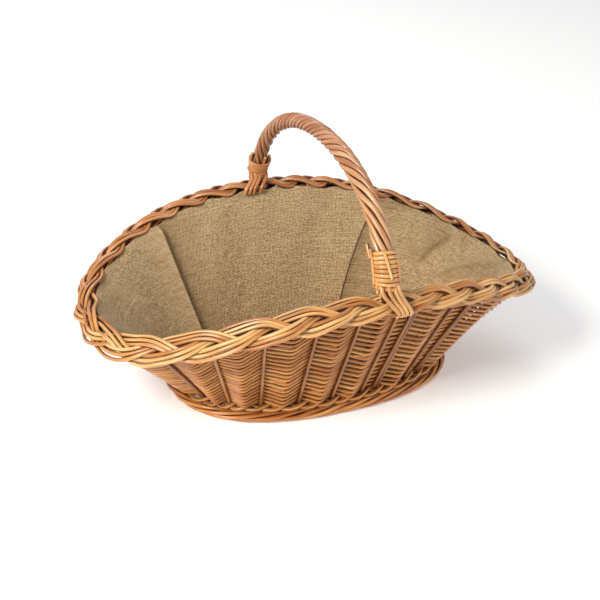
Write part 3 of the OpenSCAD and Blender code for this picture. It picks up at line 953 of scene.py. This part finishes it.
def build_floor_cloth():
    rings, cols = 30, 180
    t = np.linspace(0, TAU, cols)
    edge = wall(t, reach(t, FLOOR_CLOTH_Z, -LINING_IN), np.full(cols, -LINING_IN))
    points = edge[None] * np.linspace(0.02, 1, rings)[:, None, None]
    points[..., 2] = FLOOR_CLOTH_Z
    cloth = np.concatenate([points[..., :2], np.zeros((rings, cols, 1))], -1)
    closed_sheet("lining_floor", points, cloth, np.array([0, 0, 1.0]))


TUCKED, LEVEL, PROUD, FOLDED = -1.2 * MM, 1.2 * MM, 2 * MM, 6.5 * MM  # how far a panel's edge stands in
# Upright panels: first seam, last seam, and build_panel's pairs for the two edges.
PANELS = {
    "lining_back": ("right_back", "left_back", (0, LAP), (PROUD, TUCKED), (0, 0.8)),
    "lining_left": ("left_back", "left_front", (0, LAP), (FOLDED, TUCKED), (-0.2, 0)),
    "lining_front": ("left_front", "right_front", (0, 0), (LEVEL, LEVEL), (0, 0)),
    "lining_right": ("right_front", "right_back", (LAP, LAP), (TUCKED, TUCKED), (0, 0.6)),
}


def build_lining():
    for node, panel in PANELS.items():
        build_panel(node, *panel)
    build_floor_cloth()


# ---- stage ---------------------------------------------------------------------------------------
FLOOR_HALF = 6.0
WORLD_LIGHT, FLOOR_GLOW, BACKDROP = 0.36, 0.22, 0.93
LIGHTS_AIM = (0, 0, 0.1)
# Soft lights: place, diameter, power in watts and colour.
LIGHTS = {
    "key": ((-1.75, -0.75, 1.5), 0.8, 59, (1.0, 0.97, 0.92)),
    "fill": ((1.8, -1.2, 1.2), 1.8, 14, (1, 1, 1)),
    "back": ((0.4, 1.8, 1.8), 1.2, 14, (1, 1, 1)),
}


def paper_material(name, colour):
    n = Nodes(name)
    tint = n.noise(n.object_place(), 3.0)
    duller = tuple(c * 0.99 for c in colour)
    n.put(n.shader.inputs["Base Color"], n.ramp(tint, [(0.3, colour), (0.7, duller)]))
    n.put(n.shader.inputs["Roughness"], n.plus(0.8, n.times(tint, 0.1)))
    n.put(n.shader.inputs["Emission Color"], (1, 1, 1, 1))
    n.put(n.shader.inputs["Emission Strength"], FLOOR_GLOW)
    return n.material


def build_floor():
    mesh = bpy.data.meshes.new("floor")
    corners = [(x * FLOOR_HALF, y * FLOOR_HALF, 0) for x, y in ((-1, -1), (1, -1), (1, 1), (-1, 1))]
    mesh.from_pydata(corners, [], [(0, 1, 2, 3)])
    mesh.materials.append(paper_material("pale_floor", (0.9, 0.9, 0.9)))
    floor = bpy.data.objects.new("floor", mesh)
    bpy.context.scene.collection.objects.link(floor)


def build_world():
    """Even light from all round. The backdrop looks paler than the light it gives."""
    world = bpy.data.worlds.new("studio")
    world.use_nodes = True
    tree = world.node_tree
    background = tree.nodes["Background"]
    background.inputs["Color"].default_value = (1, 1, 1, 1)
    seen = tree.nodes.new("ShaderNodeMapRange")
    seen.inputs["To Min"].default_value = WORLD_LIGHT
    seen.inputs["To Max"].default_value = BACKDROP
    tree.links.new(tree.nodes.new("ShaderNodeLightPath").outputs["Is Camera Ray"], seen.inputs["Value"])
    tree.links.new(seen.outputs[0], background.inputs["Strength"])
    bpy.context.scene.world = world


def build_lights():
    for name, (place, size, power, colour) in LIGHTS.items():
        data = bpy.data.lights.new(name, "AREA")
        data.shape, data.size, data.energy, data.color = "DISK", size, power, colour
        light = bpy.data.objects.new(name, data)
        bpy.context.scene.collection.objects.link(light)
        light.location = place
        light.rotation_euler = (Vector(LIGHTS_AIM) - Vector(place)).to_track_quat("-Z", "Y").to_euler()


def build_camera():
    yaw, pitch, roll = (math.radians(a) for a in (CAMERA_YAW, CAMERA_PITCH, CAMERA_ROLL))
    back = Vector((math.sin(yaw) * math.cos(pitch), -math.cos(yaw) * math.cos(pitch), math.sin(pitch)))
    right = Vector((math.cos(yaw), math.sin(yaw), 0))
    up = back.cross(right)
    right, up = right * math.cos(roll) + up * math.sin(roll), up * math.cos(roll) - right * math.sin(roll)
    aim = Vector((0, CENTRE_Y, AIM_HEIGHT))
    place = aim + back * CAMERA_DISTANCE + right * CAMERA_SIDE + up * CAMERA_LIFT
    data = bpy.data.cameras.new("camera")
    data.lens, data.sensor_width = CAMERA_LENS, SENSOR_WIDTH
    camera = bpy.data.objects.new("camera", data)
    bpy.context.scene.collection.objects.link(camera)
    camera.matrix_world = Matrix.Translation(place) @ Matrix((right, up, back)).transposed().to_4x4()
    bpy.context.scene.camera = camera


build_base()
build_foot()
build_stakes()
build_side_weave()
build_wales()
build_rim()
build_bow()
build_rope()
build_bindings()
build_tails()
build_lining()
build_floor()
build_world()
build_lights()
build_camera()
bpy.context.scene.view_settings.view_transform = "Standard"

bpy.context.view_layer.update()
